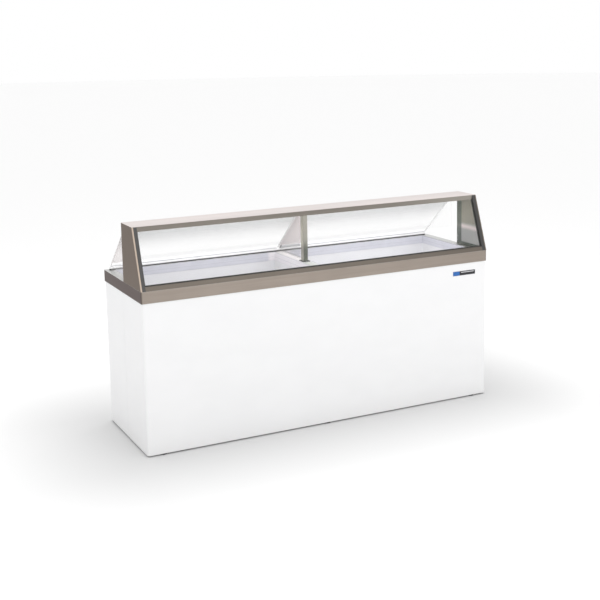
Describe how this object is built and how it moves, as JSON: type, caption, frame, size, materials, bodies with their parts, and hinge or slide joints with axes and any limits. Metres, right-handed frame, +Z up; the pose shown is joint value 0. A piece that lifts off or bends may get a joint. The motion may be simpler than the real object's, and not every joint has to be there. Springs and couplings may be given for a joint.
{
  "type": "ice cream dipping cabinet",
  "caption": "Long white chest cabinet with open wells under a steel rim, a sloping glass guard, a canopy shelf on a centre post, and clear flip-up lids at the server's side.",
  "frame": {"origin": "on the floor under the middle of the cabinet", "axes": "+X along the length, -Y towards the customer's side with the glass, +Y towards the server's side, +Z up"},
  "size_m": [2.235, 0.686, 1.258],
  "materials": {
    "galvanised": "spangled zinc coating, dull",
    "white_case": "white powder coat, semi-gloss",
    "white_liner": "white baked enamel",
    "white_plastic": "satin white plastic",
    "collar_plastic": "satin cool grey extruded plastic",
    "cap_plastic": "satin pale grey plastic",
    "foam": "pale yellow rigid foam",
    "copper": "drawn copper tube",
    "stainless": "brushed along the length",
    "stainless_lining": "brushed upright",
    "stainless_post": "brushed upright",
    "dark_rail": "dark satin finish",
    "wire": "bright plated wire",
    "polished_rod": "ground and polished",
    "black_rubber": "matt black rubber",
    "black_plastic": "fine matt grain",
    "red_rocker": "glossy red plastic",
    "black_enamel": "semi-gloss black enamel",
    "black_enamel_fins": "thin black enamel on fins",
    "aluminium_blade": "pressed aluminium",
    "glass": "clear polished plate glass",
    "clear_lid": "clear cast acrylic, polished edges",
    "clear_trim": "pale satin edge channel",
    "lid_white": "bright white extruded plastic",
    "name_plate": "blank plate, blue at the left and black at the right"
  },
  "bodies": {
    "cabinet": {"base_frame": "galvanised", "base_pan": "galvanised", "levelling_feet": "black_plastic", "front_case": "white_case", "rear_case": "white_case", "seam_battens": "galvanised", "insulation": "foam", "tank_liner": "white_liner", "evaporator_coil": "copper", "well_collars": "collar_plastic", "mullion": "white_plastic", "mullion_cap": "cap_plastic", "rim_sides": "stainless", "rim_ends": "stainless", "can_racks": "wire", "rack_ledges": "white_liner", "drain_fitting": "white_plastic", "guard_ends": "stainless", "guard_linings": "stainless_lining", "glass_side_rails": "dark_rail", "glass_bottom_rail": "stainless", "glass_top_rail": "galvanised", "glass_gasket": "black_rubber", "front_glass": "glass", "canopy_shelf": "stainless", "centre_post": "stainless_post", "post_foot": "black_plastic", "hinge_lugs": "stainless", "lid_rest": "black_rubber", "service_grille": "white_case", "control_plate": "stainless", "thermostat": "black_plastic", "switch_housing": "black_plastic", "cord_gland": "black_plastic", "unit_tray": "galvanised", "compressor_grommets": "black_rubber", "compressor": "black_enamel", "condenser": "black_enamel_fins", "fan_shroud": "galvanised", "fan_motor": "black_enamel", "filter_drier": "copper", "discharge_line": "copper", "liquid_lines": "copper", "suction_line": "copper", "name_plate": "name_plate", "screws": "polished_rod"},
    "left_lid": {"left_lid_sheet": "clear_lid", "left_lid_hinge_rail": "white_plastic", "left_lid_rod": "polished_rod", "left_lid_bar": "lid_white", "left_lid_trims": "clear_trim"},
    "right_lid": {"right_lid_sheet": "clear_lid", "right_lid_hinge_rail": "white_plastic", "right_lid_rod": "polished_rod", "right_lid_bar": "lid_white", "right_lid_trims": "clear_trim"},
    "fan": {"fan_blade": "aluminium_blade"},
    "knob": {"thermostat_knob": "black_plastic"},
    "rocker": {"switch_rocker": "red_rocker"},
    "plug": {"drain_plug": "black_rubber"}
  },
  "joints": [
    {"name": "left_lid_hinge", "type": "hinge", "parent": "cabinet", "child": "left_lid", "pos_m": [-0.5465, -0.026, 1.244], "axis": [1, 0, 0], "range_deg": [0, 135]},
    {"name": "right_lid_hinge", "type": "hinge", "parent": "cabinet", "child": "right_lid", "pos_m": [0.5465, -0.026, 1.244], "axis": [1, 0, 0], "range_deg": [0, 135]},
    {"name": "fan_spin", "type": "hinge", "parent": "cabinet", "child": "fan", "pos_m": [0.82, 0.236, 0.26], "axis": [0, 1, 0], "continuous": true},
    {"name": "thermostat_turn", "type": "hinge", "parent": "cabinet", "child": "knob", "pos_m": [0.47, 0.3274, 0.405], "axis": [0, 1, 0], "range_deg": [0, 300]},
    {"name": "switch_rock", "type": "hinge", "parent": "cabinet", "child": "rocker", "pos_m": [0.47, 0.3164, 0.325], "axis": [1, 0, 0], "range_deg": [0, 16]},
    {"name": "drain_plug_lift", "type": "slide", "parent": "cabinet", "child": "plug", "axis": [0, 0, 1], "range_m": [0, 0.08]}
  ]
}
